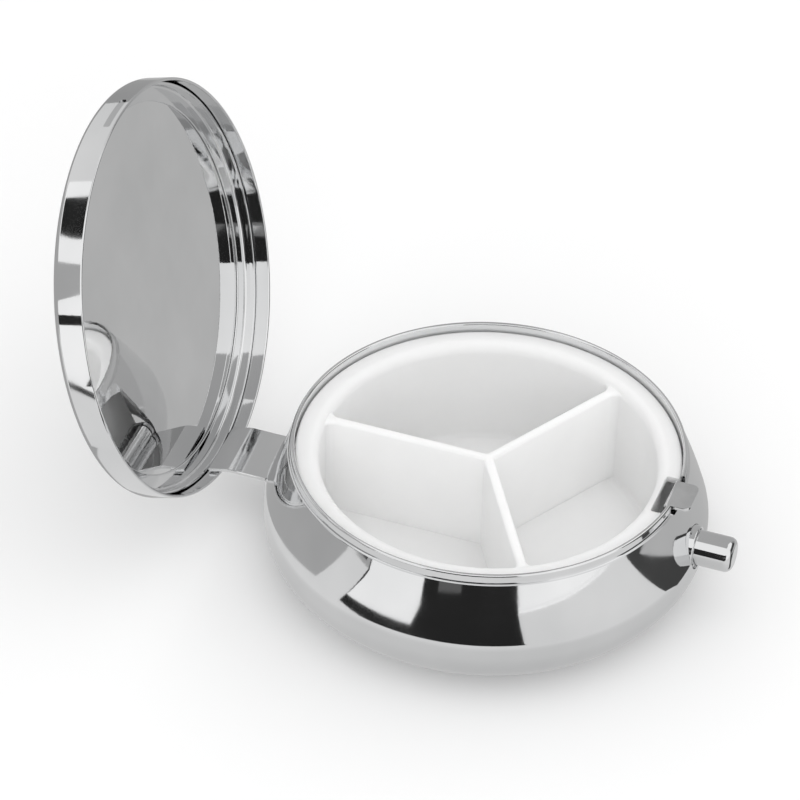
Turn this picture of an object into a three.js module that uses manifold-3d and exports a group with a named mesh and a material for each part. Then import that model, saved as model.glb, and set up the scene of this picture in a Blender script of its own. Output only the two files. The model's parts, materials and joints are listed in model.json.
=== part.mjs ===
// Round push-button pill box: a bulging sheet-metal base that holds a plastic tray with three
// compartments, and a shallow lid on a strap hinge. Millimetres, +Z up. The origin is the centre of
// the base's flat underside, the button is on -Y and the hinge on +Y. The lid stands open.
import * as THREE from 'three';
import { mergeVertices } from 'three/addons/utils/BufferGeometryUtils.js';
import Module from 'manifold-3d';

const wasm = await Module();
wasm.setup();

// ---- Driving sizes ----

const turnSteps = 64; // facets round the box
const smallTurnSteps = 24; // facets round a pin, a hole or the button
const seatGap = 0.05; // between pieces that are fastened to each other
const runGap = 0.1; // between pieces that slide or turn past each other

// base shell
const bodyRadius = 25; // at the widest band
const footInset = 7.8; // from the widest band in to the flat underside
const neckInset = 2.8; // from the widest band in to the neck
const bandLow = 6; // the widest band is straight between these heights
const bandHigh = 7.2;
const shoulderEdge = 3; // radius that rounds the band into the shoulder
const shoulderBow = 3.25; // degrees that the shoulder leans less at its foot and more at its top
const shoulderStep = 0.28; // from the shoulder's top in to the neck
const rimHeight = 15.75;
const neckHeight = 1.2; // straight neck that enters the lid
const sheet = 0.5;

// lid
const lidSheet = 0.35;
const lidPlay = 0.95; // between the neck and the inside of the lid's wall
const lidSide = 2.9; // straight wall from the mouth to the rounded corner
const lidCorner = 0.8;
const lidCrown = 1.2; // rise of the domed top above its corner
const mouthDrop = 0.37; // of the closed lid's mouth below the foot of the neck
const openAngle = 106.4; // degrees
const plateThickness = 0.25;
const plateBulge = 0.45; // of the plate's middle towards the mouth
const plateInset = 1.55; // from the inside of the lid's wall in to the plate's edge
const ringSheet = 0.2;
const ringWall = 0.35;
const ringStart = 1.7; // from the mouth in to the ring's edge
const ringShelf = 1.8; // how far the ring reaches in over the plate

// hinge
const pivotInset = 1.54; // from the widest band in to the hinge pin
const pivotHeight = 7;
const pinRadius = 0.6;
const strapThickness = 0.4;
const strapWidth = 8;
const knuckleWidth = 6.6;
const rollGap = 35; // degrees left open where the knuckle's roll ends
const strapKnee = 1; // from the closed lid's mouth down to the strap's slight bend
const tabHeight = 1.4; // of the strap's tab up the inside of the lid's wall
const bracketSheet = 0.5;
const earRadius = 1.2;
const slotPlay = 0.25; // each side of the strap in the shell's slot

// tray
const rimToFlange = 1;
const rimToDivider = 1.65;
const flangeThickness = 0.8;
const flangeFillet = 1.3;
const trayWall = 0.6;
const trayFloor = 0.6;
const trayFloorTop = 1.5;
const trayDraft = 0.15; // the wall leans in by this much from flange to floor
const floorFillet = 0.6;
const dividerThickness = 1.1;
const dividerCount = 3;
const supportWall = 1; // foot ring under the tray
const supportInset = 3.7; // from the edge of the shell's flat bottom in to the foot ring

// button and latch
const buttonRadius = 2;
const buttonReach = 4.05; // beyond the widest band
const buttonHeight = 8.4;
const buttonRound = 0.5;
const pressTravel = 1.1;
const sleeveWall = 0.35;
const sleeveLength = 1.9;
const collarRadius = 2.7;
const collarThickness = 0.5;
const stemRadius = 0.9;
const rivetRadius = 0.6;
const hookSheet = 0.45;
const hookWidth = 4.4;
const hookDrop = 2.3; // how far the hook's plate reaches below the button's axis
const toothHeight = 0.65; // from the closed lid's mouth up to the tooth's underside
const toothReach = 0.5; // beyond the closed lid's wall
const toothChamfer = 0.8;
const windowPlay = 0.5; // each side of the tooth in the neck and in the lid
const springSheet = 0.25;
const springTop = 1.5; // how far the spring reaches above the button's axis
const springFoot = 1.8; // how far the spring's foot reaches out along the bowl
const bracketFoot = 1.6; // how far the bracket's foot reaches in along the bowl

// ---- Sizes that follow ----

const footRadius = bodyRadius - footInset;
const neckRadius = bodyRadius - neckInset;
const neckInside = neckRadius - sheet;
const neckBase = rimHeight - neckHeight;

const shoulderLean = leanTowardsNeck(); // degrees, at the shoulder's foot and its top

const lidInside = neckRadius + lidPlay;
const lidRadius = lidInside + lidSheet;
const mouthHeight = neckBase - mouthDrop; // of the closed lid
const lidCornerTop = mouthHeight + lidSide + lidCorner;

const pivotY = bodyRadius - pivotInset;
const rollRadius = pinRadius + runGap + strapThickness; // outside of the knuckle
const tabOutside = lidInside - seatGap - runGap;
const tabInside = tabOutside - strapThickness;

const flangeTop = rimHeight - rimToFlange;
const flangeRadius = neckInside - runGap;
const dividerTop = rimHeight - rimToDivider;

const hookOutside = Math.sqrt(neckInside ** 2 - (hookWidth / 2) ** 2) - runGap;
const hookInside = hookOutside - hookSheet;
const springInside = hookInside - seatGap - springSheet;
const toothBottom = mouthHeight + toothHeight;
const toothTop = toothBottom + hookSheet;
const windowWidth = hookWidth + 2 * windowPlay;
const trayRadius = springInside - pressTravel - runGap; // outside of the tray's wall under the flange

// ---- Geometry helpers ----

// The shoulder runs from the edge of the band to its place beside the neck, whatever their sizes.
function leanTowardsNeck() {
  const rounds = 20;
  let lean = 0;
  for (let i = 0; i < rounds; i += 1) {
    const foot = THREE.MathUtils.degToRad(lean - shoulderBow);
    const bandToStep = bodyRadius - neckRadius - shoulderStep;
    const across = bandToStep - shoulderEdge * (1 - Math.cos(foot));
    const up = neckBase - bandHigh - shoulderEdge * Math.sin(foot);
    lean = THREE.MathUtils.radToDeg(Math.atan2(across, up));
  }
  return [lean - shoulderBow, lean + shoulderBow];
}

// The bowl's inside from its flat bottom up to the band.
function bowlInside() {
  return arc([footRadius, bandLow], [footInset - sheet, bandLow - sheet], -90, 0, 7);
}

// How high the inside of the faceted bowl is at a given radius.
function bowlHeight(radius) {
  const points = bowlInside();
  const out = radius / Math.cos(Math.PI / turnSteps);
  const next = points.findIndex(([reach]) => reach >= out);
  if (next < 0) {
    return bandLow;
  }
  if (next === 0) {
    return sheet;
  }
  const [from, low] = points[next - 1];
  const [to, high] = points[next];
  return THREE.MathUtils.mapLinear(out, from, to, low, high);
}

function arc(centre, reach, from, to, steps) {
  const points = [];
  for (let i = 0; i <= steps; i += 1) {
    const angle = THREE.MathUtils.degToRad(from + ((to - from) * i) / steps);
    points.push([centre[0] + reach[0] * Math.cos(angle), centre[1] + reach[1] * Math.sin(angle)]);
  }
  return points;
}

// The shoulder's profile from the band up to a given height, on the sheet's outside or, with inset,
// on its inside: a small rounded edge and then a long, nearly straight lean.
function shoulder(inset, top, steps) {
  const [foot, head] = shoulderLean.map(THREE.MathUtils.degToRad);
  const edge = [bodyRadius - shoulderEdge, bandHigh];
  const footHeight = bandHigh + shoulderEdge * Math.sin(foot);
  const reach = (neckBase - footHeight) / (Math.sin(head) - Math.sin(foot));
  const back = reach - shoulderEdge;
  const centre = [edge[0] - back * Math.cos(foot), edge[1] - back * Math.sin(foot)];
  const far = reach - inset;
  const last = THREE.MathUtils.radToDeg(Math.asin((top - centre[1]) / far));
  return [
    ...arc(edge, [shoulderEdge - inset, shoulderEdge - inset], 0, shoulderLean[0], 3),
    ...arc(centre, [far, far], shoulderLean[0], last, steps).slice(1),
  ];
}

function toSolid(geometry) {
  geometry.deleteAttribute('normal');
  geometry.deleteAttribute('uv');
  const merged = mergeVertices(geometry);
  const corners = merged.index.array;
  const kept = [];
  for (let i = 0; i < corners.length; i += 3) {
    const [a, b, c] = corners.slice(i, i + 3);
    if (a !== b && b !== c && c !== a) {
      kept.push(a, b, c);
    }
  }
  const vertProperties = new Float32Array(merged.attributes.position.array);
  return new wasm.Manifold(new wasm.Mesh({ numProp: 3, vertProperties, triVerts: new Uint32Array(kept) }));
}

function toGeometry(solid) {
  const mesh = solid.getMesh();
  const geometry = new THREE.BufferGeometry();
  geometry.setAttribute('position', new THREE.BufferAttribute(mesh.vertProperties, mesh.numProp));
  geometry.setIndex(new THREE.BufferAttribute(mesh.triVerts, 1));
  geometry.computeVertexNormals();
  return geometry;
}

// A profile of [radius, height] points turned about Z. It goes up outside and down inside.
function turnAboutZ(profile, steps = turnSteps) {
  const points = profile.map(([radius, height]) => new THREE.Vector2(radius, height));
  return toSolid(new THREE.LatheGeometry(points, steps).rotateX(Math.PI / 2));
}

// A profile of [radius, y] points turned about the button's axis.
function turnAboutButton(profile) {
  const points = profile.map(([radius, y]) => new THREE.Vector2(radius, y));
  return toSolid(new THREE.LatheGeometry(points, smallTurnSteps).translate(0, 0, buttonHeight));
}

function box(x, y, z) {
  const geometry = new THREE.BoxGeometry(x[1] - x[0], y[1] - y[0], z[1] - z[0]);
  return toSolid(geometry.translate((x[0] + x[1]) / 2, (y[0] + y[1]) / 2, (z[0] + z[1]) / 2));
}

// An outline of [y, z] points made as wide as given along X, centred on middle.
function acrossX(outline, width, middle = 0, holes = []) {
  const shape = new THREE.Shape(outline.map(([y, z]) => new THREE.Vector2(y, z)));
  shape.holes = holes.map((hole) => new THREE.Path(hole.map(([y, z]) => new THREE.Vector2(y, z))));
  const geometry = new THREE.ExtrudeGeometry(shape, { depth: width, bevelEnabled: false });
  const turn = new THREE.Matrix4().makeBasis(
    new THREE.Vector3(0, 1, 0),
    new THREE.Vector3(0, 0, 1),
    new THREE.Vector3(1, 0, 0),
  );
  return toSolid(geometry.applyMatrix4(turn).translate(middle - width / 2, 0, 0));
}

// An outline of [x, y] points raised from one height to another.
function raised(outline, z) {
  const shape = new THREE.Shape(outline.map(([x, y]) => new THREE.Vector2(x, y)));
  const geometry = new THREE.ExtrudeGeometry(shape, { depth: z[1] - z[0], bevelEnabled: false });
  return toSolid(geometry.translate(0, 0, z[0]));
}

// The outline of a bent sheet: its middle line with half the thickness on each side.
function ribbon(middle, thickness) {
  const near = [];
  const far = [];
  for (let i = 0; i < middle.length; i += 1) {
    const here = new THREE.Vector2(...middle[i]);
    const before = new THREE.Vector2(...middle[Math.max(i - 1, 0)]);
    const after = new THREE.Vector2(...middle[Math.min(i + 1, middle.length - 1)]);
    const incoming = here.clone().sub(before).normalize();
    const outgoing = after.clone().sub(here).normalize();
    const along = incoming.clone().add(outgoing).normalize();
    const straight = i === 0 ? outgoing : incoming;
    const reach = thickness / 2 / along.dot(straight);
    near.push([here.x + along.y * reach, here.y - along.x * reach]);
    far.unshift([here.x - along.y * reach, here.y + along.x * reach]);
  }
  return [...near, ...far];
}

// The middle line of a strip whose foot follows the bowl and which then stands upright at a given
// distance from the centre. A negative foot points inwards.
function bowlStrip(upright, foot, top, thickness, width) {
  const onBowl = (out) => {
    const radius = Math.hypot(out, width / 2);
    const slope = (bowlHeight(radius + thickness) - bowlHeight(radius - thickness)) / (2 * thickness);
    return bowlHeight(radius) + (seatGap + thickness / 2) * Math.hypot(1, slope);
  };
  const bend = upright + Math.sign(foot) * 2 * thickness;
  const steps = 3;
  const points = [];
  for (let i = 0; i <= steps; i += 1) {
    const out = upright + foot + ((bend - upright - foot) * i) / steps;
    points.push([out, onBowl(out)]);
  }
  points.push([upright, onBowl(bend) + 2 * thickness], [upright, top]);
  return points;
}

function mirrored(points) {
  return points.map(([first, second]) => [-first, second]);
}

function turnedOpen([y, z]) {
  const spot = new THREE.Vector2(y, z);
  spot.rotateAround(new THREE.Vector2(pivotY, pivotHeight), THREE.MathUtils.degToRad(-openAngle));
  return spot;
}

// ---- Base ----

function strapPath() {
  const roll = rollRadius - strapThickness / 2;
  const lidEnd = [(tabInside + tabOutside) / 2, mouthHeight - seatGap];
  const knee = [neckRadius + seatGap + runGap + strapThickness / 2, mouthHeight - strapKnee];
  const away = [knee[0] - pivotY, knee[1] - pivotHeight];
  const leave = Math.atan2(away[1], away[0]) - Math.acos(roll / Math.hypot(...away));
  const leaveDegrees = THREE.MathUtils.radToDeg(leave);
  const rolled = arc([pivotY, pivotHeight], [roll, roll], leaveDegrees + rollGap - 360, leaveDegrees, 16);
  return { rolled, leavePoint: rolled[rolled.length - 1], knee, lidEnd };
}

// The open strap nearly rests on the slot's lower edge, which stops the lid.
function slotBottom() {
  const { leavePoint, knee } = strapPath();
  const inner = turnedOpen(leavePoint);
  const outer = turnedOpen(knee);
  const slope = (outer.y - inner.y) / (outer.x - inner.x);
  const lowest = inner.y + slope * (bodyRadius - inner.x);
  return lowest - strapThickness / 2 - runGap;
}

function baseShell() {
  const outside = [
    [0, 0],
    ...arc([footRadius, bandLow], [footInset, bandLow], -90, 0, 8),
    ...shoulder(0, neckBase, 4),
    [neckRadius, neckBase],
  ];
  const rim = arc([neckRadius - sheet / 2, rimHeight - sheet / 2], [sheet / 2, sheet / 2], 0, 180, 4);
  const inside = [
    [neckInside, neckBase - sheet],
    ...shoulder(sheet, neckBase - sheet, 3).reverse(),
    ...bowlInside().reverse(),
    [0, sheet],
  ];
  const shell = turnAboutZ([...outside, ...rim, ...inside]);
  const slotHalf = strapWidth / 2 + slotPlay;
  const slot = box([-slotHalf, slotHalf], [neckRadius + seatGap, bodyRadius + 1], [slotBottom(), rimHeight]);
  const window = box(
    [-windowWidth / 2, windowWidth / 2],
    [-neckRadius - 1, -hookInside],
    [toothBottom - windowPlay, rimHeight + 1],
  );
  const holeRadius = buttonRadius + runGap + sleeveWall + seatGap;
  const hole = turnAboutButton([
    [0, -bodyRadius - 1],
    [holeRadius, -bodyRadius - 1],
    [holeRadius, -neckInside],
    [0, -neckInside],
  ]);
  return shell.subtract(slot).subtract(window).subtract(hole);
}

function insertTray() {
  const wallTop = trayRadius - trayWall;
  const floorTop = trayFloorTop;
  const wallFoot = wallTop - trayDraft;
  const underside = floorTop - trayFloor;
  const supportRadius = footRadius - supportInset;
  const profile = [
    [0, underside],
    [supportRadius - supportWall, underside],
    [supportRadius - supportWall, sheet + seatGap],
    [supportRadius, sheet + seatGap],
    [supportRadius, underside],
    [wallFoot, underside],
    [wallFoot + trayWall, underside + trayFloor],
    [trayRadius, flangeTop - flangeThickness],
    [flangeRadius, flangeTop - flangeThickness],
    [flangeRadius, flangeTop],
    ...arc([wallTop + flangeFillet, flangeTop - flangeFillet], [flangeFillet, flangeFillet], 90, 180, 4),
    ...arc([wallFoot - floorFillet, floorTop + floorFillet], [floorFillet, floorFillet], 0, -90, 3),
    [0, floorTop],
  ];
  let tray = turnAboutZ(profile);
  const armLength = wallFoot + trayWall / 2;
  for (let i = 0; i < dividerCount; i += 1) {
    const half = dividerThickness / 2;
    const arm = box([-half, half], [0, armLength], [floorTop - trayFloor / 2, dividerTop]);
    tray = tray.add(arm.rotate([0, 0, (360 * i) / dividerCount]));
  }
  const notchFloor = hookInside - pressTravel - runGap;
  const notch = box(
    [-windowWidth / 2 - windowPlay, windowWidth / 2 + windowPlay],
    [-neckRadius, -notchFloor],
    [flangeTop - flangeThickness - 1, flangeTop + 1],
  );
  return tray.subtract(notch);
}

function hingeBracket() {
  const inner = knuckleWidth / 2 + runGap;
  const width = 2 * (inner + bracketSheet);
  const back = pivotY - rollRadius - runGap - bracketSheet;
  const top = pivotHeight + earRadius;
  const strip = bowlStrip(back + bracketSheet / 2, -bracketFoot, top, bracketSheet, width);
  let bracket = acrossX(ribbon(strip, bracketSheet), width);
  const ear = [
    [back, pivotHeight - earRadius],
    ...arc([pivotY, pivotHeight], [earRadius, earRadius], -90, 90, 8),
    [back, pivotHeight + earRadius],
  ];
  const holeRadius = pinRadius + runGap;
  const hole = arc([pivotY, pivotHeight], [holeRadius, holeRadius], 0, 360, smallTurnSteps).slice(1);
  for (const side of [-1, 1]) {
    bracket = bracket.add(acrossX(ear, bracketSheet, side * (inner + bracketSheet / 2), [hole]));
  }
  return bracket;
}

function hingePin() {
  const length = knuckleWidth + 2 * (runGap + bracketSheet);
  const round = arc([pivotY, pivotHeight], [pinRadius, pinRadius], 0, 360, smallTurnSteps).slice(1);
  return acrossX(round, length);
}

function buttonSleeve() {
  const inside = buttonRadius + runGap;
  const outside = inside + sleeveWall;
  const front = -bodyRadius;
  const back = front + sleeveLength;
  return turnAboutButton([
    [inside, front],
    [outside, front],
    [outside, back],
    [inside, back],
    [inside, front],
  ]);
}

function latchSpring() {
  const upright = springInside + springSheet / 2;
  const strip = bowlStrip(upright, springFoot, buttonHeight + springTop, springSheet, hookWidth);
  const leaf = acrossX(ribbon(mirrored(strip), springSheet), hookWidth);
  return leaf.subtract(rivetHole());
}

// ---- Button and latch ----

function rivetHole() {
  const radius = rivetRadius + seatGap;
  return turnAboutButton([
    [0, -hookOutside - 1],
    [radius, -hookOutside - 1],
    [radius, -springInside + 1],
    [0, -springInside + 1],
  ]);
}

function pushButton() {
  const tip = -bodyRadius - buttonReach;
  const collarFront = -bodyRadius + sleeveLength + seatGap;
  const collarBack = collarFront + collarThickness;
  return turnAboutButton([
    [0, tip],
    ...arc([buttonRadius - buttonRound, tip + buttonRound], [buttonRound, buttonRound], -90, 0, 4),
    [buttonRadius, collarFront],
    [collarRadius, collarFront],
    [collarRadius, collarBack],
    [stemRadius, collarBack],
    [stemRadius, -hookOutside - seatGap],
    [rivetRadius, -hookOutside - seatGap],
    [rivetRadius, -springInside],
    [0, -springInside],
  ]);
}

function latchHook() {
  const half = hookWidth / 2;
  const tip = -lidRadius - toothReach;
  const plate = box([-half, half], [-hookOutside, -hookInside], [buttonHeight - hookDrop, toothTop]);
  const tooth = raised(
    [
      [-half, -hookInside],
      [-half, tip + toothChamfer],
      [-half + toothChamfer, tip],
      [half - toothChamfer, tip],
      [half, tip + toothChamfer],
      [half, -hookInside],
    ],
    [toothBottom, toothTop],
  );
  return plate.add(tooth).subtract(rivetHole());
}

// ---- Lid, drawn closed over the base ----

// The domed top: heights above the rounded corner fall off with the square of the radius.
function crown(edge, top, steps, inwards) {
  const points = [];
  for (let i = 1; i <= steps; i += 1) {
    const radius = edge * (1 - i / steps);
    points.push([radius, top + lidCrown * (1 - (radius / edge) ** 2)]);
  }
  return inwards ? points : [...points.reverse()];
}

function innerTop(radius) {
  const edge = lidRadius - lidCorner;
  return lidCornerTop - lidSheet + lidCrown * (1 - (radius / edge) ** 2);
}

function lidShell() {
  const edge = lidRadius - lidCorner;
  const wallTop = mouthHeight + lidSide;
  const innerCorner = lidCorner - lidSheet;
  const shell = turnAboutZ([
    [lidRadius, mouthHeight],
    ...arc([edge, wallTop], [lidCorner, lidCorner], 0, 90, 4),
    ...crown(edge, lidCornerTop, 4, true),
    ...crown(edge, lidCornerTop - lidSheet, 4, false),
    ...arc([edge, wallTop], [innerCorner, innerCorner], 90, 0, 3),
    [lidInside, mouthHeight],
    [lidRadius, mouthHeight],
  ]);
  const slot = box(
    [-windowWidth / 2, windowWidth / 2],
    [-lidRadius - 1, -lidInside + 1],
    [toothBottom - runGap, toothTop + windowPlay / 2],
  );
  return shell.subtract(slot);
}

const plateRadius = lidInside - plateInset;
const plateBack = innerTop(plateRadius) - seatGap;
const plateFace = plateBack - plateThickness;

// The plate bulges a little towards the mouth.
function lidPlate() {
  const steps = 4;
  const face = [];
  for (let i = 0; i <= steps; i += 1) {
    const radius = (plateRadius * i) / steps;
    face.push([radius, plateFace - plateBulge * (1 - (radius / plateRadius) ** 2)]);
  }
  const back = face.map(([radius, height]) => [radius, height + plateThickness]);
  return turnAboutZ([...face, ...back.reverse()]);
}

function lidRing() {
  const outside = lidInside - 2 * seatGap;
  const wall = outside - ringWall;
  const shelfTop = plateFace - seatGap;
  const shelf = shelfTop - ringSheet;
  return turnAboutZ([
    [outside, mouthHeight + ringStart],
    [outside, shelfTop - ringWall],
    [outside - ringWall, shelfTop],
    [wall - ringShelf, shelfTop],
    [wall - ringShelf, shelf],
    [wall, shelf],
    [wall, mouthHeight + ringStart],
    [outside, mouthHeight + ringStart],
  ]);
}

function hingeStrap() {
  const { rolled, leavePoint, knee, lidEnd } = strapPath();
  const knuckle = acrossX(ribbon(rolled, strapThickness), knuckleWidth);
  const along = [knee[0] - leavePoint[0], knee[1] - leavePoint[1]];
  const clearOfEars = (earRadius + runGap) / Math.hypot(...along);
  const start = [leavePoint[0] + along[0] * clearOfEars, leavePoint[1] + along[1] * clearOfEars];
  const neck = acrossX(ribbon([leavePoint, start, knee], strapThickness), knuckleWidth);
  const strap = acrossX(ribbon([start, knee, lidEnd], strapThickness), strapWidth);
  const reach = THREE.MathUtils.radToDeg(Math.asin(strapWidth / 2 / tabOutside));
  const tab = raised(
    [
      ...arc([0, 0], [tabOutside, tabOutside], 90 - reach, 90 + reach, 6),
      ...arc([0, 0], [tabInside, tabInside], 90 + reach, 90 - reach, 6),
    ],
    [mouthHeight - strapThickness, mouthHeight + tabHeight],
  );
  return knuckle.add(neck).add(strap).add(tab);
}

// ---- Assembly ----

const chrome = new THREE.MeshStandardMaterial({ color: 0xdadcde, roughness: 0.1, metalness: 1 });
const steel = new THREE.MeshStandardMaterial({ color: 0xb4b7b9, roughness: 0.3, metalness: 1 });
const mirror = new THREE.MeshStandardMaterial({ color: 0xb9bcbe, roughness: 0.05, metalness: 1 });
const plastic = new THREE.MeshStandardMaterial({ color: 0xf3f3f1, roughness: 0.45, metalness: 0 });

function piece(parent, name, solid, material) {
  const mesh = new THREE.Mesh(toGeometry(solid), material);
  mesh.name = name;
  parent.add(mesh);
}

const pillBox = new THREE.Group();
piece(pillBox, 'base_shell', baseShell(), chrome);
piece(pillBox, 'insert_tray', insertTray(), plastic);
piece(pillBox, 'hinge_bracket', hingeBracket(), steel);
piece(pillBox, 'hinge_pin', hingePin(), steel);
piece(pillBox, 'button_sleeve', buttonSleeve(), chrome);
piece(pillBox, 'latch_spring', latchSpring(), steel);
piece(pillBox, 'push_button', pushButton(), chrome);
piece(pillBox, 'latch_hook', latchHook(), steel);

// The lid's pieces are turned about the hinge pin from closed to open.
const lid = new THREE.Group();
const hinge = new THREE.Group();
lid.position.set(0, -pivotY, -pivotHeight);
hinge.position.set(0, pivotY, pivotHeight);
hinge.rotation.x = THREE.MathUtils.degToRad(-openAngle);
hinge.add(lid);
pillBox.add(hinge);
piece(lid, 'lid_shell', lidShell(), chrome);
piece(lid, 'lid_plate', lidPlate(), mirror);
piece(lid, 'lid_ring', lidRing(), chrome);
piece(lid, 'hinge_strap', hingeStrap(), chrome);

export default pillBox;
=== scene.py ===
import json
import math

import bpy
from mathutils import Matrix, Vector


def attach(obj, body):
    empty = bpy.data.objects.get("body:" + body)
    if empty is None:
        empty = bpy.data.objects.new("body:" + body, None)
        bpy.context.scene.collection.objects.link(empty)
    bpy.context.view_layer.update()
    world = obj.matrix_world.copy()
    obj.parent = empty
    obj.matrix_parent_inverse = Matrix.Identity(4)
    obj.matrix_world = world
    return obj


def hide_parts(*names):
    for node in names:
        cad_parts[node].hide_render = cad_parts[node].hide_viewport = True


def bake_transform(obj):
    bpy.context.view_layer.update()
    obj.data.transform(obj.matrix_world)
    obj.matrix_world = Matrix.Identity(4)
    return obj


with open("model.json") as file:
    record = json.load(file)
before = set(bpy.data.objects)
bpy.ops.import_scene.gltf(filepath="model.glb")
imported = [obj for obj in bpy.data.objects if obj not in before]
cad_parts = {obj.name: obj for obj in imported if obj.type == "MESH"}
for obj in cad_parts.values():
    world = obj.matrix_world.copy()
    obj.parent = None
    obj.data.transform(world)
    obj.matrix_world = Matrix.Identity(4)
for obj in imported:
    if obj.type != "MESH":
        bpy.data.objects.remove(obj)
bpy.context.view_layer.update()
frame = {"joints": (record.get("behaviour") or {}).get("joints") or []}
mm = 0.001

hinge = next(j for j in frame["joints"] if j["name"] == "lid_hinge")
pin = Vector(hinge["pos_m"])
openTurn = -math.radians(hinge["range_deg"][1])
opened = Matrix.Translation(pin) @ Matrix.Rotation(openTurn, 4, "X") @ Matrix.Translation(-pin)

# heights and radii that several pieces share, in millimetres
common = {
    "bodyRadius": 25.0,
    "neckRadius": 22.2,
    "neckInside": 21.7,
    "rimHeight": 15.75,
    "mouthHeight": 14.18,  # of the closed lid
    "lidRadius": 23.5,
    "lidCornerTop": 17.875,
    "buttonHeight": 8.4,
    "toothBottom": 14.83,
    "toothTop": 15.28,
    "hookInside": 21.04,
    "hookOutside": 21.49,
}


# ways of making and finishing a mesh

def startOver():
    if bpy.context.object and bpy.context.object.mode == "EDIT":
        bpy.ops.object.mode_set(mode="OBJECT")
    bpy.ops.object.select_all(action="DESELECT")


def only(piece):
    startOver()
    piece.select_set(True)
    bpy.context.view_layer.objects.active = piece


def arc(centre, reach, start, end, steps):
    points = []
    for i in range(steps + 1):
        angle = math.radians(start + (end - start) * i / steps)
        across = centre[0] + reach[0] * math.cos(angle)
        points.append((across, centre[1] + reach[1] * math.sin(angle)))
    return points


def turned(name, profile, sides=192, ring=False):
    # a ring of edges is extruded and resized along the profile of (radius, height) points
    startOver()
    radius, height = profile[0]
    bpy.ops.mesh.primitive_circle_add(
        vertices=sides, radius=radius * mm, location=(0, 0, height * mm))
    piece = bpy.context.object
    piece.name = name
    bpy.ops.object.transform_apply(location=True, rotation=False, scale=False)
    bpy.ops.object.mode_set(mode="EDIT")
    bpy.ops.mesh.select_mode(type="EDGE")
    bpy.ops.mesh.select_all(action="SELECT")
    for nextRadius, nextHeight in profile[1:]:
        rise = (nextHeight - height) * mm
        bpy.ops.mesh.extrude_region_move(TRANSFORM_OT_translate={"value": (0, 0, rise)})
        grow = nextRadius / radius
        bpy.ops.transform.resize(value=(grow, grow, 1), center_override=(0, 0, nextHeight * mm))
        radius, height = nextRadius, nextHeight
    bpy.ops.mesh.select_all(action="DESELECT")
    bpy.ops.mesh.select_non_manifold(
        extend=False, use_wire=False, use_multi_face=False, use_verts=False)
    if ring:
        bpy.ops.mesh.bridge_edge_loops()
    else:
        bpy.ops.mesh.fill_holes(sides=0)
    bpy.ops.mesh.select_all(action="SELECT")
    bpy.ops.mesh.normals_make_consistent(inside=False)
    bpy.ops.object.mode_set(mode="OBJECT")
    return piece


def block(name, low, high):
    startOver()
    size = [(b - a) * mm for a, b in zip(low, high)]
    middle = [(a + b) / 2 * mm for a, b in zip(low, high)]
    bpy.ops.mesh.primitive_cube_add(size=1, location=middle)
    piece = bpy.context.object
    piece.name = name
    piece.scale = size
    bpy.ops.object.transform_apply(location=True, rotation=False, scale=True)
    return piece


def same(a, b):
    return abs(a - b) < 0.1  # places are compared to a tenth of a millimetre


def pickEdges(piece, wanted):
    # edges are picked by the places of their two ends, in millimetres
    only(piece)
    bpy.ops.object.mode_set(mode="EDIT")
    bpy.ops.mesh.select_mode(type="EDGE")
    bpy.ops.mesh.select_all(action="DESELECT")
    bpy.ops.object.mode_set(mode="OBJECT")
    corners = piece.data.vertices
    for edge in piece.data.edges:
        a, b = (corners[i].co / mm for i in edge.vertices)
        edge.select = wanted(a, b)
    bpy.ops.object.mode_set(mode="EDIT")


def bevelEdges(piece, wanted, width, segments):
    pickEdges(piece, wanted)
    bpy.ops.mesh.bevel(offset=width * mm, segments=segments)
    bpy.ops.object.mode_set(mode="OBJECT")


def pickFaces(piece, wanted):
    # faces are picked by their middle, in millimetres, and their direction
    only(piece)
    bpy.ops.object.mode_set(mode="EDIT")
    bpy.ops.mesh.select_mode(type="FACE")
    bpy.ops.mesh.select_all(action="DESELECT")
    bpy.ops.object.mode_set(mode="OBJECT")
    for face in piece.data.polygons:
        face.select = wanted(face.center / mm, face.normal)
    bpy.ops.object.mode_set(mode="EDIT")


def combine(piece, other, how):
    only(piece)
    change = piece.modifiers.new("combine", "BOOLEAN")
    change.operation = how
    change.solver = "EXACT"
    change.object = other
    bpy.ops.object.modifier_apply(modifier=change.name)
    bpy.data.objects.remove(other, do_unlink=True)


def drill(piece, radius, depth, middle, sides=48):
    # a hole along Y at the button's height
    startOver()
    bpy.ops.mesh.primitive_cylinder_add(
        vertices=sides, radius=radius * mm, depth=depth * mm,
        location=(0, middle * mm, common["buttonHeight"] * mm), rotation=(math.pi / 2, 0, 0),
    )
    combine(piece, bpy.context.object, "DIFFERENCE")


def soften(piece, width, angle=40, segments=2):
    only(piece)
    edge = piece.modifiers.new("edge", "BEVEL")
    edge.width = width * mm
    edge.segments = segments
    edge.limit_method = "ANGLE"
    edge.angle_limit = math.radians(angle)
    edge.harden_normals = False
    bpy.ops.object.modifier_apply(modifier=edge.name)


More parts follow.
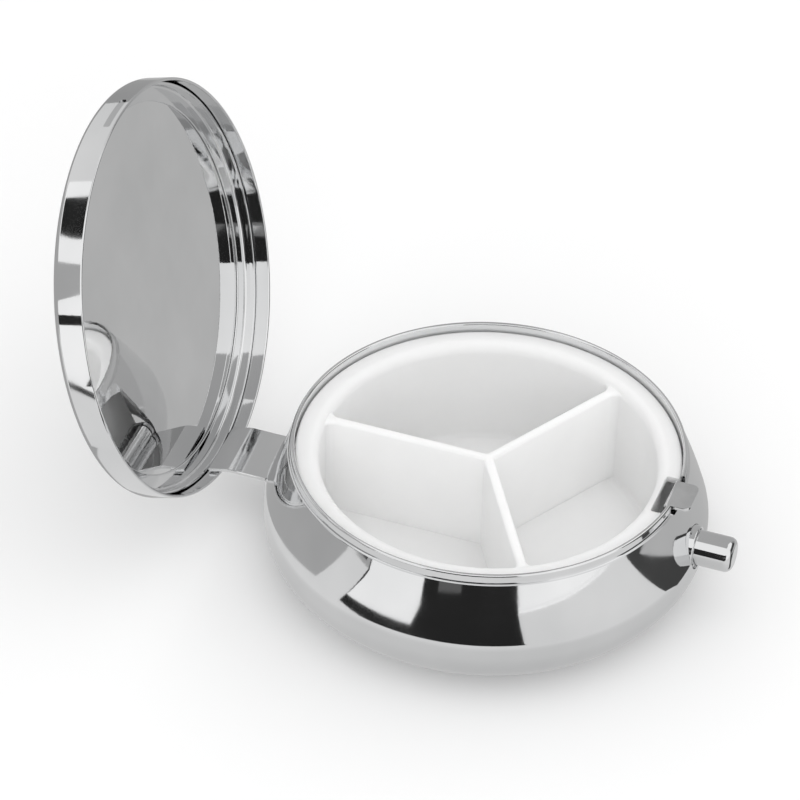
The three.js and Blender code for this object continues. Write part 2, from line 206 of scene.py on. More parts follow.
def bentStrip(name, points, widths, thickness):
    # an edge along X is extruded from point to point of (y, z) and then given its thickness
    startOver()
    width = widths[0]
    here = (0, points[0][0] * mm, points[0][1] * mm)
    bpy.ops.mesh.primitive_plane_add(size=width * mm, location=here)
    strip = bpy.context.object
    strip.name = name
    bpy.ops.object.transform_apply(location=True, rotation=False, scale=False)
    bpy.ops.object.mode_set(mode="EDIT")
    bpy.ops.mesh.select_all(action="SELECT")
    bpy.ops.transform.resize(value=(1, 0, 1), center_override=here)
    bpy.ops.mesh.remove_doubles(threshold=0.00001)
    bpy.ops.mesh.select_mode(type="EDGE")
    bpy.ops.mesh.select_all(action="SELECT")
    for before, after, wanted in zip(points, points[1:], widths[1:]):
        step = ((after[0] - before[0]) * mm, (after[1] - before[1]) * mm)
        bpy.ops.mesh.extrude_region_move(TRANSFORM_OT_translate={"value": (0, *step)})
        if wanted != width:
            bpy.ops.transform.resize(value=(wanted / width, 1, 1), center_override=(0, 0, 0))
            width = wanted
    bpy.ops.object.mode_set(mode="OBJECT")
    thick = strip.modifiers.new("thick", "SOLIDIFY")
    thick.thickness = thickness * mm
    thick.offset = 0
    thick.use_even_offset = True
    only(strip)
    bpy.ops.object.modifier_apply(modifier=thick.name)
    bpy.ops.object.mode_set(mode="EDIT")
    bpy.ops.mesh.select_all(action="SELECT")
    bpy.ops.mesh.normals_make_consistent(inside=False)
    bpy.ops.object.mode_set(mode="OBJECT")
    return strip


def place(piece, matrix):
    only(piece)
    piece.matrix_world = matrix
    bpy.ops.object.transform_apply(location=True, rotation=True, scale=True)


def finished(piece, material, body, node, angle=35):
    only(piece)
    bpy.ops.object.shade_smooth_by_angle(angle=math.radians(angle))
    even = piece.modifiers.new("even", "WEIGHTED_NORMAL")
    even.keep_sharp = True
    bpy.ops.object.modifier_apply(modifier=even.name)
    piece.data.materials.clear()
    piece.data.materials.append(material)
    if body:
        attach(piece, body)
    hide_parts(node)


# materials

def newMaterial(name):
    material = bpy.data.materials.new(name)
    material.use_nodes = True
    nodes = material.node_tree.nodes
    return material, nodes, material.node_tree.links, nodes["Principled BSDF"]


def noise(nodes, links, scale, detail, stretch=(1, 1, 1)):
    where = nodes.new("ShaderNodeTexCoord")
    mapping = nodes.new("ShaderNodeMapping")
    mapping.inputs["Scale"].default_value = stretch
    pattern = nodes.new("ShaderNodeTexNoise")
    pattern.inputs["Scale"].default_value = scale
    pattern.inputs["Detail"].default_value = detail
    links.new(where.outputs["Object"], mapping.inputs["Vector"])
    links.new(mapping.outputs["Vector"], pattern.inputs["Vector"])
    return pattern.outputs["Fac"]


# most of a noise pattern lies between 0.3 and 0.7
def spread(nodes, links, value, low, high, fromLow=0.3, fromHigh=0.7):
    ranged = nodes.new("ShaderNodeMapRange")
    ranged.inputs["From Min"].default_value = fromLow
    ranged.inputs["From Max"].default_value = fromHigh
    ranged.inputs["To Min"].default_value = low
    ranged.inputs["To Max"].default_value = high
    links.new(value, ranged.inputs["Value"])
    return ranged.outputs["Result"]


def coloured(nodes, links, shader, value, first, second):
    mix = nodes.new("ShaderNodeMix")
    mix.data_type = "RGBA"
    mix.inputs["A"].default_value = (*first, 1)
    mix.inputs["B"].default_value = (*second, 1)
    links.new(spread(nodes, links, value, 0, 1), mix.inputs["Factor"])
    links.new(mix.outputs["Result"], shader.inputs["Base Color"])


def bumped(nodes, links, value, height, normal=None):
    bump = nodes.new("ShaderNodeBump")
    bump.inputs["Strength"].default_value = 1
    bump.inputs["Distance"].default_value = height * mm
    links.new(value, bump.inputs["Height"])
    if normal:
        links.new(normal, bump.inputs["Normal"])
    return bump.outputs["Normal"]


def metal(s):
    material, nodes, links, shader = newMaterial(s["name"])
    shader.inputs["Metallic"].default_value = 1
    clouds = noise(nodes, links, s["cloudScale"], 3)
    coloured(nodes, links, shader, clouds, s["dull"], s["bright"])
    rub = noise(nodes, links, s["rubScale"], 4, s["rubStretch"])
    links.new(spread(nodes, links, rub, *s["roughness"]), shader.inputs["Roughness"])
    ripple = bumped(nodes, links, noise(nodes, links, s["rippleScale"], 1), s["ripple"])
    grain = noise(nodes, links, s["grainScale"], 2, s["rubStretch"])
    links.new(bumped(nodes, links, grain, s["grain"], ripple), shader.inputs["Normal"])
    return material


chromeSet = {
    "name": "bright chrome",
    "dull": (0.74, 0.745, 0.75),
    "bright": (0.86, 0.862, 0.865),
    "cloudScale": 60,
    "rubScale": 220,
    "rubStretch": (1, 1, 1),
    "roughness": (0.03, 0.085),
    "rippleScale": 70,
    "ripple": 0.02,
    "grainScale": 2500,
    "grain": 0.0006,
}
steelSet = {
    "name": "pressed steel",
    "dull": (0.42, 0.42, 0.425),
    "bright": (0.56, 0.56, 0.565),
    "cloudScale": 120,
    "rubScale": 900,
    "rubStretch": (1, 1, 0.08),
    "roughness": (0.2, 0.38),
    "rippleScale": 200,
    "ripple": 0.01,
    "grainScale": 4000,
    "grain": 0.004,
}
toothSteelSet = {
    "name": "polished steel",
    "dull": (0.70, 0.702, 0.705),
    "bright": (0.82, 0.822, 0.825),
    "cloudScale": 300,
    "rubScale": 700,
    "rubStretch": (1, 0.1, 1),
    "roughness": (0.09, 0.2),
    "rippleScale": 200,
    "ripple": 0.008,
    "grainScale": 3500,
    "grain": 0.002,
}
mirrorSet = {
    "name": "polished plate",
    "dull": (0.78, 0.783, 0.785),
    "bright": (0.86, 0.862, 0.864),
    "cloudScale": 90,
    "rubScale": 300,
    "rubStretch": (1, 1, 1),
    "roughness": (0.012, 0.04),
    "rippleScale": 60,
    "ripple": 0.012,
    "grainScale": 2500,
    "grain": 0.0008,
}
plasticSet = {
    "name": "moulded white plastic",
    "pale": (0.912, 0.912, 0.909),
    "white": (0.942, 0.942, 0.939),
    "subsurface": 0.6,
    "glow": 1.5,  # millimetres that light travels inside
    "bend": 1.49,  # how much it bends light
    "cloudScale": 140,
    "rubScale": 500,
    "roughness": (0.34, 0.46),
    "swirlScale": 180,
    "swirl": 0.01,
    "grainScale": 3000,
    "grain": 0.004,
}


def mouldedPlastic(s):
    material, nodes, links, shader = newMaterial(s["name"])
    clouds = noise(nodes, links, s["cloudScale"], 3)
    coloured(nodes, links, shader, clouds, s["pale"], s["white"])
    shader.inputs["Subsurface Weight"].default_value = s["subsurface"]
    shader.inputs["Subsurface Radius"].default_value = (1, 1, 1)
    shader.inputs["Subsurface Scale"].default_value = s["glow"] * mm
    shader.inputs["IOR"].default_value = s["bend"]
    rub = noise(nodes, links, s["rubScale"], 3)
    links.new(spread(nodes, links, rub, *s["roughness"]), shader.inputs["Roughness"])
    swirl = bumped(nodes, links, noise(nodes, links, s["swirlScale"], 2), s["swirl"])
    grain = noise(nodes, links, s["grainScale"], 2)
    links.new(bumped(nodes, links, grain, s["grain"], swirl), shader.inputs["Normal"])
    return material


chrome = metal(chromeSet)
steel = metal(steelSet)
toothSteel = metal(toothSteelSet)
mirror = metal(mirrorSet)
plastic = mouldedPlastic(plasticSet)
print("materials made")


# base bowl: a bulging pressed shell with a leaning shoulder and a short upright neck

bowlSet = {
    "cap": 0.4,  # radius of the small face that closes the middle
    "footRadius": 17.2,
    "bandLow": 6.0,
    "bandHigh": 7.2,
    "edge": 3.0,
    "lean": (17.0, 23.5),
    "neckBase": 14.55,
    "neckSweep": [(0.12, 0.01), (0.03, 0.05), (0, 0.13)],  # out from the neck, up from its base
    "sheet": 0.5,
    "slotHalf": 4.25,
    "slotStart": 22.25,
    "slotEnd": 26,
    "slotBottom": 5.78,
    "slotCorner": 0.6,
    "windowHalf": 2.7,
    "windowEnd": 24.5,
    "windowDrop": 0.5,  # below the tooth
    "windowCorner": 0.3,
    "cutTop": 17,
    "holeRadius": 2.5,
    "holeMiddle": -24.5,
    "holeDepth": 6,
}


def leaning(s, inset, top, steps):
    foot, head = (math.radians(a) for a in s["lean"])
    edgeCentre = (common["bodyRadius"] - s["edge"], s["bandHigh"])
    footHeight = s["bandHigh"] + s["edge"] * math.sin(foot)
    reach = (s["neckBase"] - footHeight) / (math.sin(head) - math.sin(foot))
    back = reach - s["edge"]
    centre = (edgeCentre[0] - back * math.cos(foot), edgeCentre[1] - back * math.sin(foot))
    far = reach - inset
    last = math.degrees(math.asin((top - centre[1]) / far))
    near = s["edge"] - inset
    return (arc(edgeCentre, (near, near), 0, s["lean"][0], 6)
            + arc(centre, (far, far), s["lean"][0], last, steps)[1:])


def makeBowl(s):
    wide = common["bodyRadius"] - s["footRadius"]
    centre = (s["footRadius"], s["bandLow"])
    neck = common["neckRadius"]
    inner = common["neckInside"]
    half = (neck - inner) / 2
    outside = [(s["cap"], 0), (s["footRadius"] / 2, 0)]
    outside += arc(centre, (wide, s["bandLow"]), -90, 0, 30)
    outside += leaning(s, 0, s["neckBase"], 14)
    outside += [(neck + out, s["neckBase"] + up) for out, up in s["neckSweep"]]
    rim = arc((neck - half, common["rimHeight"] - half), (half, half), 0, 180, 10)
    inside = [(inner, s["neckBase"] - s["sheet"])]
    inside += leaning(s, s["sheet"], s["neckBase"] - s["sheet"], 10)[::-1]
    inside += arc(centre, (wide - s["sheet"], s["bandLow"] - s["sheet"]), 0, -90, 24)
    inside += [(s["footRadius"] / 2, s["sheet"]), (s["cap"], s["sheet"])]
    bowl = turned("baseBowl", outside + rim + inside)

    slot = block(
        "slot",
        (-s["slotHalf"], s["slotStart"], s["slotBottom"]),
        (s["slotHalf"], s["slotEnd"], s["cutTop"]),
    )
    lowest = s["slotBottom"] + 1
    bevelEdges(
        slot, lambda a, b: same(a.z, b.z) and same(a.x, b.x) and a.z < lowest, s["slotCorner"], 5)
    combine(bowl, slot, "DIFFERENCE")

    window = block(
        "window",
        (-s["windowHalf"], -s["windowEnd"], common["toothBottom"] - s["windowDrop"]),
        (s["windowHalf"], -common["hookInside"], s["cutTop"]),
    )
    highest = common["toothBottom"]
    bevelEdges(
        window, lambda a, b: same(a.z, b.z) and same(a.x, b.x) and a.z < highest,
        s["windowCorner"], 4)
    combine(bowl, window, "DIFFERENCE")
    drill(bowl, s["holeRadius"], s["holeDepth"], s["holeMiddle"], sides=64)
    return bowl


finished(makeBowl(bowlSet), chrome, "base", "base_shell")
print("base bowl made")


# pill tray: one moulding with a flange, a soft lip and three dividers

traySet = {
    "cap": 0.5,
    "flangeRadius": 21.6,
    "flangeTop": 14.75,
    "flangeThickness": 0.8,
    "flangeEdge": 0.15,
    "flangeRound": 0.25,
    "underBlend": 0.2,
    "lip": 1.3,
    "outside": 19.54,
    "wall": 0.6,
    "draft": 0.15,
    "floorTop": 1.5,
    "floor": 0.6,
    "floorFillet": 0.6,
    "footRing": (12.5, 13.5),
    "footBottom": 0.55,
    "dividerHalf": 0.55,
    "dividerTop": 14.1,
    "dividerRound": 0.42,
    "dividerRoot": 1.0,  # where a divider widens into the wall
    "rootTurn": 84,
    "rootSteps": 7,
    "dividerSink": 0.3,
    "dividers": 3,
    "notchHalf": 3.2,
    "notchStart": 23,
    "notchEnd": 19.84,
    "notchDrop": 1.9,
    "notchCorner": 0.3,
}


def makeDivider(s):
    wall = s["outside"] - s["wall"]
    bar = block(
        "divider",
        (-s["dividerHalf"], 0, s["floorTop"] - s["dividerSink"]),
        (s["dividerHalf"], wall - s["dividerRoot"], s["dividerTop"]),
    )
    bevelEdges(
        bar, lambda a, b: min(a.z, b.z) > s["floorTop"] and same(a.x, b.x), s["dividerRound"], 6)
    pickFaces(bar, lambda c, n: n.y > 0.9)
    half = s["dividerHalf"]
    root = s["dividerRoot"]
    steps = s["rootSteps"]
    for i in range(1, steps + 1):
        turn = math.radians(s["rootTurn"] * i / steps)
        before = math.radians(s["rootTurn"] * (i - 1) / steps)
        step = root * (math.sin(turn) - math.sin(before))
        wider = s["dividerHalf"] + root * (1 - math.cos(turn))
        bpy.ops.mesh.extrude_region_move(TRANSFORM_OT_translate={"value": (0, step * mm, 0)})
        bpy.ops.transform.resize(value=(wider / half, 1, 1), center_override=(0, 0, 0))
        half = wider
    sink = s["dividerSink"] * mm
    bpy.ops.mesh.extrude_region_move(TRANSFORM_OT_translate={"value": (0, sink, 0)})
    bpy.ops.object.mode_set(mode="OBJECT")
    return bar


def makeTray(s):
    wallTop = s["outside"] - s["wall"]
    wallFoot = wallTop - s["draft"]
    under = s["floorTop"] - s["floor"]
    flangeUnder = s["flangeTop"] - s["flangeThickness"]
    near, far = s["footRing"]
    foot = s["footBottom"]
    edge = s["flangeEdge"]
    blend = s["underBlend"]
    soft = s["flangeRound"]
    profile = [(s["cap"], under), (near, under), (near, foot), (far, foot), (far, under)]
    profile += [(wallFoot, under), (wallFoot + s["wall"], under + s["floor"])]
    profile += [(s["outside"], flangeUnder - blend), (s["outside"] + blend, flangeUnder)]
    profile += [(s["flangeRadius"] - edge, flangeUnder), (s["flangeRadius"], flangeUnder + edge)]
    profile += [(s["flangeRadius"], s["flangeTop"] - soft)]
    profile += arc((s["flangeRadius"] - soft, s["flangeTop"] - soft), (soft, soft), 15, 90, 4)
    lip = s["lip"]
    profile += arc((wallTop + lip, s["flangeTop"] - lip), (lip, lip), 90, 180, 12)
    fillet = s["floorFillet"]
    profile += arc((wallFoot - fillet, s["floorTop"] + fillet), (fillet, fillet), 0, -90, 6)
    tray = turned("pillTray", profile)
    for i in range(s["dividers"]):
        bar = makeDivider(s)
        place(bar, Matrix.Rotation(math.radians(360 * i / s["dividers"]), 4, "Z"))
        combine(tray, bar, "UNION")
    notch = block(
        "notch",
        (-s["notchHalf"], -s["notchStart"], s["flangeTop"] - s["notchDrop"]),
        (s["notchHalf"], -s["notchEnd"], s["flangeTop"] + 1),
    )
    bevelEdges(
        notch, lambda a, b: same(a.x, b.x) and same(a.y, b.y) and a.y > -s["flangeRadius"],
        s["notchCorner"], 4)
    combine(tray, notch, "DIFFERENCE")
    return tray


finished(makeTray(traySet), plastic, "base", "insert_tray", angle=50)
print("pill tray made")


# hinge and latch parts that stay as the frame has them get their finish

for node in ("hinge_bracket", "hinge_pin"):
    for holder in bpy.data.objects[node].material_slots:
        holder.material = steel


# button, its collar and the latch

buttonSet = {
    "cap": 0.3,
    "radius": 2.0,
    "tip": 29.05,  # lengths are measured from the box's middle
    "crown": 0.03,
    "round": 0.85,
    "collar": (2.7, 23.05, 22.55),
    "collarEdge": 0.1,
    "stem": 0.9,
    "rivet": (0.6, 21.54, 20.74),
}


def makeButton(s):
    tip = s["tip"]
    soft = s["round"]
    flat = s["radius"] - soft
    profile = [(s["cap"], tip), (flat, tip - s["crown"])]
    profile += arc((flat, tip - soft), (soft, soft), 82, 0, 8)
    wide, front, back = s["collar"]
    edge = s["collarEdge"]
    profile += [(s["radius"], front), (wide - edge, front), (wide, front - edge)]
    profile += [(wide, back + edge), (wide - edge, back), (s["stem"], back)]
    thin, shoulder, end = s["rivet"]
    profile += [(s["stem"], shoulder), (thin, shoulder), (thin, end), (s["cap"], end)]
    return turned("pushButton", profile, sides=96)


alongButton = (Matrix.Translation((0, 0, common["buttonHeight"] * mm))
               @ Matrix.Rotation(math.pi / 2, 4, "X"))
button = makeButton(buttonSet)
place(button, alongButton)
finished(button, chrome, "latch", "push_button")

collarSet = {"inside": 2.1, "outside": 2.45, "front": 24.75, "length": 1.65}


def makeCollar(s):
    middle = (s["inside"] + s["outside"]) / 2
    half = (s["outside"] - s["inside"]) / 2
    back = s["front"] - s["length"]
    profile = arc((middle, s["front"] - half), (half, half), 0, 180, 8)
    profile += [(s["inside"], back), (s["outside"], back)]
    return turned("buttonCollar", profile, sides=96, ring=True)


collar = makeCollar(collarSet)
place(collar, alongButton)
finished(collar, chrome, "base", "button_sleeve")

toothSet = {
    "half": 2.2,
    "foot": 6.1,
    "tip": -24.0,
    "bend": 0.8,
    "chamfer": 0.8,
    "softEdge": 0.07,
    "hole": 0.65,
    "holeDepth": 3,
}


def makeTooth(s):
    plate = block(
        "latchTooth",
        (-s["half"], -common["hookOutside"], s["foot"]),
        (s["half"], -common["hookInside"], common["toothTop"]),
    )
    only(plate)
    bpy.ops.object.mode_set(mode="EDIT")
    bpy.ops.mesh.select_all(action="SELECT")
    bpy.ops.mesh.bisect(plane_co=(0, 0, common["toothBottom"] * mm), plane_no=(0, 0, 1))
    bpy.ops.object.mode_set(mode="OBJECT")
    pickFaces(plate, lambda c, n: n.y < -0.9 and c.z > common["toothBottom"])
    reach = s["tip"] + common["hookOutside"]
    bpy.ops.mesh.extrude_region_move(TRANSFORM_OT_translate={"value": (0, reach * mm, 0)})
    bpy.ops.object.mode_set(mode="OBJECT")
    tip = s["tip"] + 0.1
    bevelEdges(
        plate, lambda a, b: not same(a.z, b.z) and max(a.y, b.y) < tip, s["chamfer"], 3)
    top = common["toothTop"] - 0.1
    middle = -(common["hookInside"] + common["hookOutside"]) / 2
    bevelEdges(
        plate, lambda a, b: same(a.z, b.z) and a.z > top and min(a.y, b.y) > middle,
        s["bend"], 7)
    drill(plate, s["hole"], s["holeDepth"], -common["hookInside"])
    soften(plate, s["softEdge"])
    return plate


springSet = {
    "foot": [(-22.66, 2.72), (-22.23, 2.35), (-21.8, 2.05), (-21.45, 1.84), (-21.2, 1.8)],
    "bend": [(-21.02, 1.9), (-20.91, 2.08), (-20.865, 2.3)],
    "upright": -20.865,
    "top": 9.88,
    "bars": 16,
    "width": 4.4,
    "thickness": 0.25,
    "hole": 0.65,
    "holeDepth": 2,
    "softEdge": 0.04,
    "fixedBelow": 2.6,
    "movesAbove": 6.0,
}


def makeSpring(s):
    start = s["bend"][-1][1]
    rise = (s["top"] - start) / s["bars"]
    upright = [(s["upright"], start + rise * (i + 1)) for i in range(s["bars"])]
    points = s["foot"] + s["bend"] + upright
    spring = bentStrip("latchLeaf", points, [s["width"]] * len(points), s["thickness"])
    drill(spring, s["hole"], s["holeDepth"], s["upright"])
    soften(spring, s["softEdge"])
    return spring


# the leaf is attached to no body and stays where it is made
leaf = makeSpring(springSet)
finished(leaf, steel, None, "latch_spring")
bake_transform(leaf)
finished(makeTooth(toothSet), toothSteel, "latch", "latch_hook")
print("button and latch made")


# lid: a shallow dish, its mirror plate, the ring that holds the plate, and the hinge strap

lidSet = {
    "cap": 0.4,
    "side": 2.895,
    "corner": 0.8,
    "crown": 1.2,
    "crownSteps": 16,
    "sheet": 0.35,
    "slotHalf": 2.7,
    "slotReach": (25, 22),
    "slotRoom": (0.1, 0.25),  # under and over the tooth
    "slotCorner": 0.2,
}
plateSet = {
    "cap": 0.4,
    "radius": 21.6,
    "back": 17.585,
    "thickness": 0.25,
    "dish": -0.45,  # below zero it bulges towards the mouth
    "dishSteps": 12,
    "edge": (0.1, 0.05),
}
ringSet = {
    "outside": 23.05,
    "wall": 0.35,
    "start": 15.88,
    "shelfTop": 17.29,
    "sheet": 0.2,
    "inner": 20.9,
    "corner": [(0, 0.35), (0.1, 0.12), (0.35, 0)],  # in from the outside, down from the shelf
    "innerRound": 0.1,
    "fillet": 0.3,
    "mouthEdge": [(0, 0.15), (0.06, 0.03), (0.18, 0)],  # out from the wall, up from the start
    "mouthCorner": (0.05, 0.1),
}


def makeLid(s):
    edge = common["lidRadius"] - s["corner"]
    corner = s["corner"]
    wallTop = common["mouthHeight"] + s["side"]
    steps = s["crownSteps"]

    def crown(top):
        radii = [s["cap"] + (edge - s["cap"]) * i / steps for i in range(steps + 1)]
        return [(r, top + s["crown"] * (1 - (r / edge) ** 2)) for r in radii]

    profile = crown(common["lidCornerTop"])[:-1]
    profile += arc((edge, wallTop), (corner, corner), 84, 0, 8)
    half = s["sheet"] / 2
    rim = (common["lidRadius"] - half, common["mouthHeight"] + half)
    profile += arc(rim, (half, half), 0, -180, 8)
    inner = corner - s["sheet"]
    profile += arc((edge, wallTop), (inner, inner), 0, 84, 6)
    profile += crown(common["lidCornerTop"] - s["sheet"])[:-1][::-1]
    lid = turned("lidDish", profile)
    far, near = s["slotReach"]
    under, over = s["slotRoom"]
    slot = block(
        "slot",
        (-s["slotHalf"], -far, common["toothBottom"] - under),
        (s["slotHalf"], -near, common["toothTop"] + over),
    )
    bevelEdges(slot, lambda a, b: same(a.x, b.x) and same(a.z, b.z), s["slotCorner"], 4)
    combine(lid, slot, "DIFFERENCE")
    return lid


def makePlate(s):
    steps = s["dishSteps"]
    inset, step = s["edge"]
    wide = s["radius"] - inset - s["cap"]
    radii = [s["cap"] + wide * i / steps for i in range(steps + 1)]

    def dished(top):
        return [(r, top + s["dish"] * (1 - (r / s["radius"]) ** 2)) for r in radii]

    face = s["back"] - s["thickness"]
    profile = dished(face) + [(s["radius"], face + inset), (s["radius"], s["back"] - step)]
    profile += dished(s["back"])[::-1]
    return turned("lidMirror", profile)


def makeRing(s):
    wall = s["outside"] - s["wall"]
    shelf = s["shelfTop"] - s["sheet"]
    soft = s["innerRound"]
    fillet = s["fillet"]
    inset, rise = s["mouthCorner"]
    profile = [(s["outside"], s["start"] + rise)]
    profile += [(s["outside"] - out, s["shelfTop"] - down) for out, down in s["corner"]]
    profile += arc((s["inner"] + soft, s["shelfTop"] - soft), (soft, soft), 90, 270, 6)
    profile += arc((wall - fillet, shelf - fillet), (fillet, fillet), 90, 0, 5)
    profile += [(wall + out, s["start"] + up) for out, up in s["mouthEdge"]]
    profile += [(s["outside"] - inset, s["start"])]
    return turned("lidRetainer", profile, ring=True)


strapSet = {
    "width": 8.0,
    "knuckleWidth": 6.6,
    "thickness": 0.4,
    "roll": 0.9,
    "rollGap": 35,
    "rollSteps": 40,
    "clear": 1.3,
    "flare": 0.3,
    "middle": 0.6,
    "knee": (22.55, 13.18),
    "kneeRound": 0.25,
    "tabStart": 0.1,  # under the mouth
    "tabTop": 15.58,
    "softEdge": 0.09,
}


def makeStrap(s):
    centre = Vector((pin.y / mm, pin.z / mm))
    knee = Vector(s["knee"])
    away = knee - centre
    leave = math.degrees(math.atan2(away.y, away.x) - math.acos(s["roll"] / away.length))
    roll = arc(centre, (s["roll"], s["roll"]), leave + s["rollGap"] - 360, leave, s["rollSteps"])
    path = [Vector(p) for p in roll]
    along = (knee - path[-1]).normalized()
    wideStart = path[-1] + along * s["clear"]
    rest = [wideStart, wideStart + along * s["flare"], wideStart.lerp(knee, s["middle"])]
    rest += [knee - along * s["kneeRound"], Vector((knee.x, knee.y + s["kneeRound"]))]
    rest += [Vector((knee.x, common["mouthHeight"] - s["tabStart"]))]
    rest += [Vector((knee.x, s["tabTop"]))]

    widths = [s["knuckleWidth"]] * (len(path) + 1) + [s["width"]] * (len(rest) - 1)
    strap = bentStrip("hingeStrap", path + rest, widths, s["thickness"])
    soften(strap, s["softEdge"], segments=3)
    return strap


lidPieces = [
    (makeLid(lidSet), chrome, "lid_shell", "chrome_shell"),
    (makePlate(plateSet), mirror, "lid_plate", "lid_mirror"),
    (makeRing(ringSet), chrome, "lid_ring", "chrome_shell"),
    (makeStrap(strapSet), chrome, "hinge_strap", "chrome_shell"),
]
for piece, material, node, slot in lidPieces:
    place(piece, opened)
    finished(piece, material, "lid", node)
print("lid made")


# camera

cameraSet = {
    "azimuth": -71.84,  # degrees, 0 looks along +Y
    "elevation": 39.29,
    "roll": 1.906,
    "distance": 0.5516,
    "lens": 230.95,
    "aim": Vector((-15.34, 5.59, 32.27)) * mm,
    "nearest": 0.01,
    "furthest": 20,
}


def addCamera(s):
    azimuth = math.radians(s["azimuth"])
    elevation = math.radians(s["elevation"])
    roll = math.radians(s["roll"])
    back = Vector((
        math.sin(azimuth) * math.cos(elevation),
        -math.cos(azimuth) * math.cos(elevation),
        math.sin(elevation),
    ))
    level = Vector((math.cos(azimuth), math.sin(azimuth), 0))
    upright = back.cross(level)
    across = level * math.cos(roll) + upright * math.sin(roll)
    above = upright * math.cos(roll) - level * math.sin(roll)
    matrix = Matrix((across, above, back)).transposed().to_4x4()
    matrix.translation = s["aim"] + back * s["distance"]
    data = bpy.data.cameras.new("productCamera")
    data.lens = s["lens"]
    data.clip_start = s["nearest"]
    data.clip_end = s["furthest"]
    camera = bpy.data.objects.new("productCamera", data)
    camera.matrix_world = matrix
    bpy.context.scene.collection.objects.link(camera)
    bpy.context.scene.camera = camera


addCamera(cameraSet)


# studio: a pale floor, a bright room, soft lamps, and cards that only show in reflections

roomSet = {
    "light": 1.0,
    "floor": 0.92,
    "floorSize": 6,
    "floorRoughness": 0.8,
    "lampAim": Vector((0, 0, 0.01)),
    "cardCentre": Vector((0, 0, 10)) * mm,
    "cardLowest": 1.0,  # a card stays this far above the floor, in millimetres
    "cardSides": 24,
}
lampSet = [
    {"name": "overheadLamp", "place": (-0.15, -0.1, 0.9), "size": 0.9, "power": 0.5},
    {"name": "sideLamp", "place": (-0.8, -0.25, 0.5), "size": 0.7, "power": 1.3},
]
cardSet = [
    # directions are degrees about the box from +X towards +Y, distances are millimetres, and low
    # and high are elevations seen from the box at the card's first and last direction
    {"name": "frontDark", "from": 171, "to": 214, "low": (-9, -9), "high": (28, 28),
     "far": 420, "shade": 0.02},
    {"name": "sideDark", "from": 140, "to": 172, "low": (-9, -9), "high": (12, 15),
     "far": 420, "shade": 0.02},
    {"name": "sideWhite", "from": 141, "to": 168.5, "low": (-7, -5.5), "high": (8.5, 13),
     "far": 330, "lowest": 2.0, "shade": 1.0},
    {"name": "greyShapeA", "from": 176, "to": 187, "low": (3, 4), "high": (18, 16),
     "far": 300, "shade": 0.12},
    {"name": "greyShapeB", "from": 197, "to": 210, "low": (8, 8), "high": (16, 15),
     "far": 300, "shade": 0.2},
    {"name": "lightShapeA", "from": 198.5, "to": 201, "low": (10, 10), "high": (14, 14),
     "far": 290, "shade": 0.75},
    {"name": "lightShapeB", "from": 203, "to": 206, "low": (10, 10), "high": (14, 13),
     "far": 290, "shade": 0.7},
    {"name": "hingeGrey", "from": 84, "to": 140, "low": (-1.2, -1.2), "high": (31, 31),
     "far": 420, "shade": 0.42},
    {"name": "hingeGreyLow", "from": 84, "to": 127, "low": (-17, -9.5), "high": (-1.2, -1.2),
     "far": 420, "shade": 0.42},
    {"name": "lidEdgeDark", "from": 137, "to": 144, "low": (2.5, 2.5), "high": (9.5, 9.5),
     "far": 78, "shade": 0.02},
    {"name": "lidGrey", "from": 132, "to": 141, "low": (30, 24), "high": (36, 32),
     "far": 415, "shade": 0.4},
    {"name": "lidDark", "from": 97, "to": 121, "low": (40, 38), "high": (51, 49),
     "far": 420, "shade": 0.02},
    {"name": "backGrey", "from": 30, "to": 84, "low": (-16, -16), "high": (16, 16),
     "far": 420, "shade": 0.36},
    {"name": "buttonDark", "from": 270, "to": 320, "low": (-16, -10), "high": (28, 28),
     "far": 420, "shade": 0.06},
    {"name": "buttonGrey", "from": 320, "to": 330, "low": (-10, -10), "high": (40, 40),
     "far": 420, "shade": 0.3},
    {"name": "farGrey", "from": -30, "to": 30, "low": (-4, -4), "high": (76, 76),
     "far": 450, "shade": 0.44},
    {"name": "farPale", "from": 30, "to": 86, "low": (16, 16), "high": (60, 60),
     "far": 450, "shade": 0.74},
    {"name": "overhead", "from": 0, "to": 360, "low": (75, 75), "high": (90, 90),
     "far": 450, "shade": 0.44},
]
floorCard = {"name": "floorGrey", "low": (12, -130), "high": (230, 90), "height": 1.3, "shade": 0.5}
# floorPale shows only in reflections and carries a painted contact shadow that darkens it near the
# box
paleCard = {
    "name": "floorPale",
    "radius": 600,
    "height": 0.5,
    "inner": 19,
    "outer": 42,
    "shade": (0.54, 0.76),  # near the box and away from it
}


def glow(name, shade):
    material = bpy.data.materials.new(name)
    material.use_nodes = True
    nodes = material.node_tree.nodes
    nodes.clear()
    light = nodes.new("ShaderNodeEmission")
    light.inputs["Color"].default_value = (shade, shade, shade, 1)
    out = nodes.new("ShaderNodeOutputMaterial")
    material.node_tree.links.new(light.outputs["Emission"], out.inputs["Surface"])
    return material


def reflectedOnly(panel, card):
    panel.data.materials.append(glow(card["name"], card["shade"]))
    panel.visible_camera = False
    panel.visible_diffuse = False
    panel.visible_shadow = False


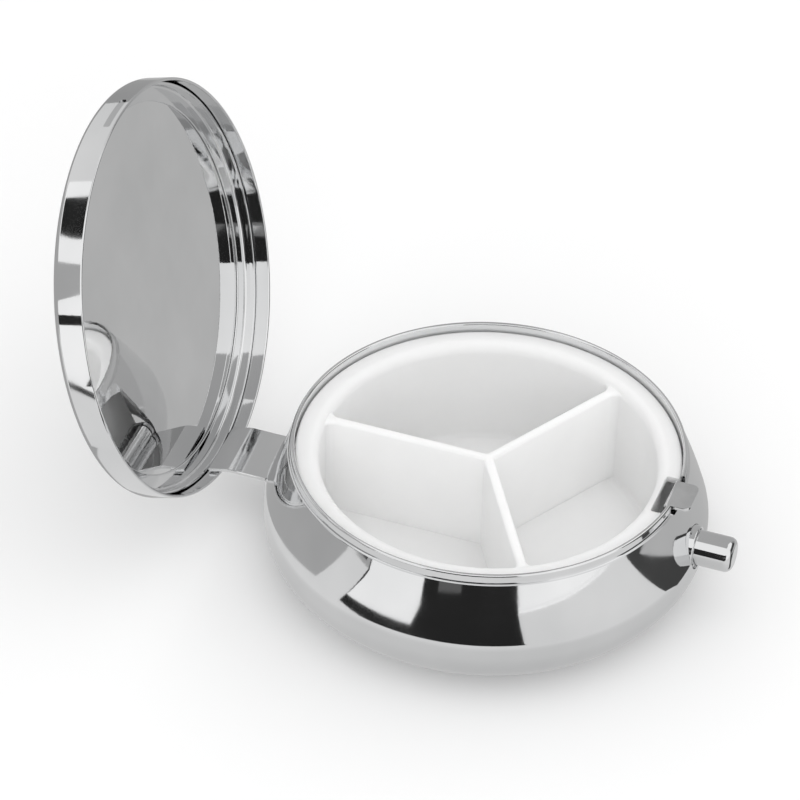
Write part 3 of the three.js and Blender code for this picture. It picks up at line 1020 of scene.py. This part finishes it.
def addCard(card):
    # a curved panel: part of a ring round the box, leaning out along its elevation
    startOver()
    sides = roomSet["cardSides"]
    bpy.ops.mesh.primitive_grid_add(x_subdivisions=sides, y_subdivisions=sides, size=2)
    panel = bpy.context.object
    panel.name = card["name"]
    centre = roomSet["cardCentre"]
    lowest = card.get("lowest", roomSet["cardLowest"]) * mm
    for corner in panel.data.vertices:
        along = (corner.co.x + 1) / 2
        turn = math.radians(card["from"] + (card["to"] - card["from"]) * along)
        low, high = (math.radians(a + (b - a) * along) for a, b in (card["low"], card["high"]))
        lift = low + (high - low) * (corner.co.y + 1) / 2
        level = math.cos(lift)
        out = Vector((math.cos(turn) * level, math.sin(turn) * level, math.sin(lift)))
        far = card["far"] * mm
        if lift < 0:
            far = min(far, (centre.z - lowest) / -math.sin(lift))
        corner.co = centre + out * far
    reflectedOnly(panel, card)


def addPaleCard(card):
    # reflected in place of the floor, with painted shade: a painted contact shadow makes it darker
    # close to the box
    startOver()
    bpy.ops.mesh.primitive_circle_add(
        vertices=64, radius=card["radius"] * mm, fill_type="NGON",
        location=(0, 0, card["height"] * mm),
    )
    disc = bpy.context.object
    disc.name = card["name"]
    bpy.ops.object.transform_apply(location=True, rotation=False, scale=False)
    near, far = card["shade"]
    reflectedOnly(disc, {"name": card["name"], "shade": far})
    nodes = disc.data.materials[0].node_tree.nodes
    links = disc.data.materials[0].node_tree.links
    where = nodes.new("ShaderNodeTexCoord")
    reach = nodes.new("ShaderNodeVectorMath")
    reach.operation = "LENGTH"
    links.new(where.outputs["Object"], reach.inputs[0])
    inner, outer = card["inner"] * mm, card["outer"] * mm
    shade = spread(nodes, links, reach.outputs["Value"], near, far, inner, outer)
    links.new(shade, nodes["Emission"].inputs["Color"])


def addFloorCard(card):
    startOver()
    (left, near), (right, back) = card["low"], card["high"]
    middle = ((left + right) / 2 * mm, (near + back) / 2 * mm, 0)
    bpy.ops.mesh.primitive_plane_add(size=1, location=middle)
    panel = bpy.context.object
    panel.name = card["name"]
    panel.scale = ((right - left) * mm, (back - near) * mm, 1)
    panel.location.z = card["height"] * mm
    reflectedOnly(panel, card)


def addLamp(lamp):
    data = bpy.data.lights.new(lamp["name"], "AREA")
    data.shape = "DISK"
    data.size = lamp["size"]
    data.energy = lamp["power"]
    light = bpy.data.objects.new(lamp["name"], data)
    spot = Vector(lamp["place"])
    turn = (roomSet["lampAim"] - spot).to_track_quat("-Z", "Y")
    light.matrix_world = Matrix.Translation(spot) @ turn.to_matrix().to_4x4()
    light.visible_glossy = False
    bpy.context.scene.collection.objects.link(light)


bpy.context.scene.view_settings.view_transform = "Standard"
world = bpy.data.worlds.new("studio")
bpy.context.scene.world = world
world.use_nodes = True
sky = world.node_tree.nodes["Background"]
sky.inputs["Color"].default_value = (1, 1, 1, 1)
sky.inputs["Strength"].default_value = roomSet["light"]

startOver()
bpy.ops.mesh.primitive_plane_add(size=roomSet["floorSize"], location=(0, 0, 0))
floor = bpy.context.object
floor.name = "floor"
pale, _, _, paleShader = newMaterial("pale floor")
paleShader.inputs["Base Color"].default_value = (*[roomSet["floor"]] * 3, 1)
paleShader.inputs["Roughness"].default_value = roomSet["floorRoughness"]
floor.data.materials.append(pale)
for card in cardSet:
    addCard(card)
addPaleCard(paleCard)
addFloorCard(floorCard)
for lamp in lampSet:
    addLamp(lamp)
print("studio made")
